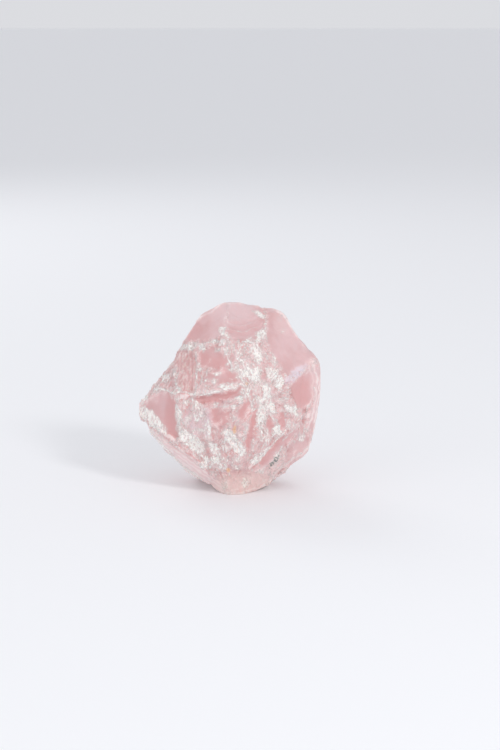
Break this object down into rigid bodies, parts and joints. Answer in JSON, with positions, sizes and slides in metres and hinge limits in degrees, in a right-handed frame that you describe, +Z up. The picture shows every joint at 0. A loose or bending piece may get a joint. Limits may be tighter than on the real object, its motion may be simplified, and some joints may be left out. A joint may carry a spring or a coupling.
{
  "type": "rose quartz chunk",
  "caption": "Rough chunk of pink rose quartz with a broad broken front, sharp ledges and a small flat break to stand on.",
  "frame": {"origin": "under the middle of the chunk's bounding box, on the surface it stands on", "axes": "+Z up, +X to the right along the broad broken face, +Y from that face towards the back, so the broad face looks along -Y"},
  "size_m": [0.0898, 0.0652, 0.093],
  "materials": {
    "rose_quartz": "freshly broken quartz: waxy on the smooth faces, frosted white where it is shattered"
  },
  "bodies": {
    "root": {"rose_quartz_chunk": "rose_quartz"}
  },
  "joints": []
}
